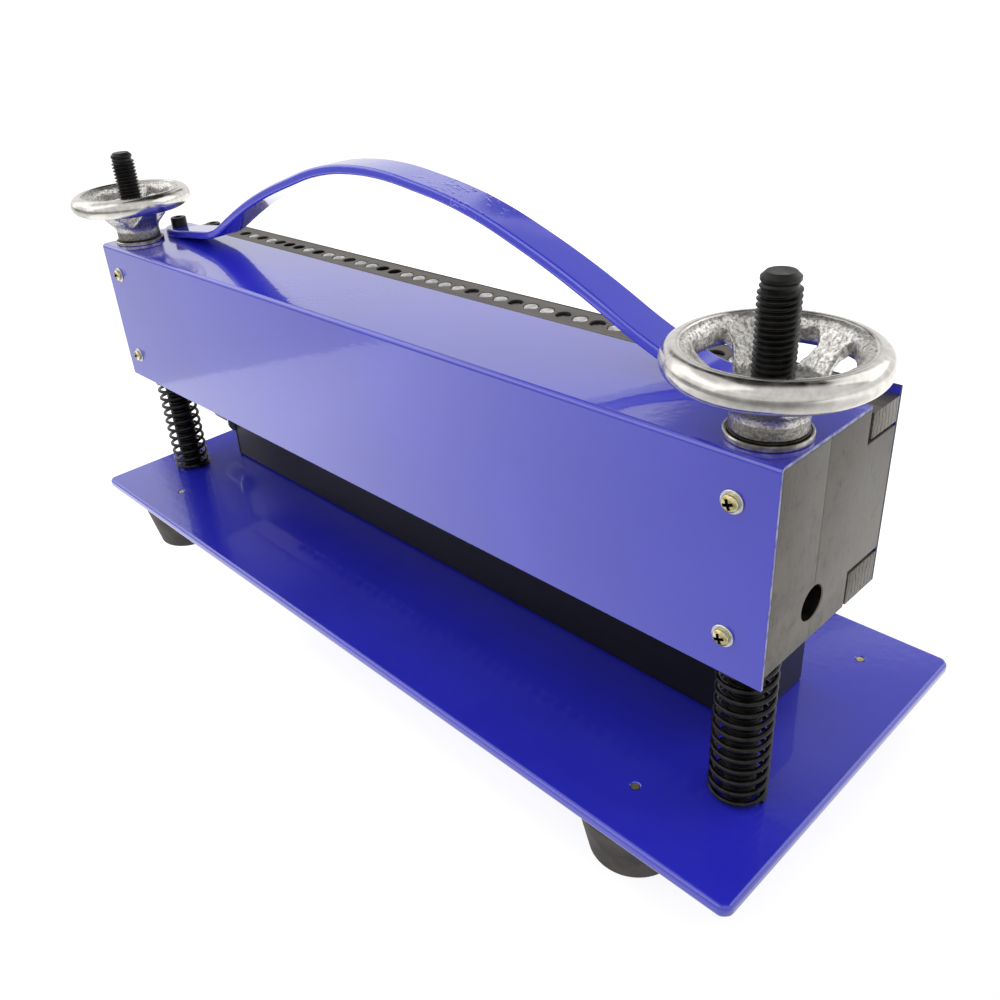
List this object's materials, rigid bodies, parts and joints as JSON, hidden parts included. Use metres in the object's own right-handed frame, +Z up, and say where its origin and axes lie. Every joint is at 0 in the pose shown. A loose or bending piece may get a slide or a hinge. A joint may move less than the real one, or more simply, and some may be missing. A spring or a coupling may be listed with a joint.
{
  "type": "twin-screw hand press",
  "caption": "Bench press: two handwheels on threaded rods pull a sprung beam with a row of loose drive pins down on to an anvil bar.",
  "frame": {"origin": "centre of the bounding box on the floor, under the four rubber feet", "axes": "+X along the beam towards its right end, +Y to the back (the pin row side), +Z up; the front cover faces -Y"},
  "size_m": [0.451, 0.1606, 0.2222],
  "materials": {
    "blue_powder_coat": "glossy deep blue powder coat on steel sheet and bar",
    "foot_rubber": "matt moulded rubber",
    "yellow_zinc": "yellow passivated zinc plate",
    "white_zinc": "bright zinc plate",
    "black_oxide_steel": "black oxide, satin",
    "spring_steel": "black oil-hardened spring wire",
    "black_painted_steel": "glossy black paint on steel",
    "black_plastic": "moulded black plastic",
    "machined_steel": "milled dark steel with fine scratches",
    "ground_steel": "ground steel with sawn ends",
    "washer_steel": "bright turned steel",
    "bearing_steel": "dark greased bearing steel",
    "cast_chrome": "chrome plate, polished rim over rough casting",
    "pin_steel": "bright hardened pin steel"
  },
  "bodies": {
    "stand": {"base_plate": "blue_powder_coat", "rubber_feet": "foot_rubber", "foot_screws": "yellow_zinc", "left_rod": "black_oxide_steel", "right_rod": "black_oxide_steel", "rod_washers": "white_zinc", "rod_nuts": "white_zinc", "left_spring": "spring_steel", "right_spring": "spring_steel", "anvil_bar": "black_painted_steel", "anvil_screws": "black_oxide_steel", "end_bracket": "black_painted_steel", "bracket_screws": "white_zinc", "stop_screw": "white_zinc", "stop_knob": "black_plastic"},
    "beam": {"front_block": "machined_steel", "rear_block": "machined_steel", "block_bolts": "black_oxide_steel", "top_cover": "blue_powder_coat", "back_cover": "blue_powder_coat", "cover_screws": "yellow_zinc", "cover_washers": "white_zinc", "back_cover_screws": "yellow_zinc", "upper_pin_rail": "ground_steel", "lower_pin_rail": "ground_steel", "rail_screws": "black_oxide_steel", "handle_bar": "blue_powder_coat", "handle_screws": "black_oxide_steel", "left_thrust_washer": "washer_steel", "right_thrust_washer": "washer_steel", "left_bearing_ring": "bearing_steel", "right_bearing_ring": "bearing_steel"},
    "left_wheel": {"left_handwheel": "cast_chrome"},
    "right_wheel": {"right_handwheel": "cast_chrome"},
    "flush_pin_row": {"flush_pins": "pin_steel"},
    "recessed_pin_row": {"recessed_pins": "pin_steel"},
    "deep_pin_row": {"deep_pins": "pin_steel"}
  },
  "joints": [
    {"name": "left_wheel_spin", "type": "hinge", "parent": "beam", "child": "left_wheel", "pos_m": [-0.19425, -0.0356, 0.19], "axis": [0, 0, 1], "range_deg": [-4940, 5342]},
    {"name": "right_wheel_spin", "type": "hinge", "parent": "beam", "child": "right_wheel", "pos_m": [0.19425, -0.0356, 0.19], "axis": [0, 0, 1], "range_deg": [-4940, 5342]},
    {"name": "beam_slide", "type": "slide", "parent": "stand", "child": "beam", "axis": [0, 0, 1], "range_m": [-0.024, 0.02595], "stiffness_N_per_m": 3220, "springref_m": 0.0565, "deforming": ["left_spring", "right_spring"]},
    {"name": "flush_pins_slide", "type": "slide", "parent": "beam", "child": "flush_pin_row", "axis": [0, 0, 1], "range_m": [-0.006, 0]},
    {"name": "recessed_pins_slide", "type": "slide", "parent": "beam", "child": "recessed_pin_row", "axis": [0, 0, 1], "range_m": [-0.0047, 0.0013]},
    {"name": "deep_pins_slide", "type": "slide", "parent": "beam", "child": "deep_pin_row", "axis": [0, 0, 1], "range_m": [-0.0022, 0.0038]}
  ],
  "couplings": [
    {"joint": "left_wheel_spin", "follows": "beam_slide", "rad_per_m": 3590.4},
    {"joint": "right_wheel_spin", "follows": "beam_slide", "rad_per_m": 3590.4}
  ]
}
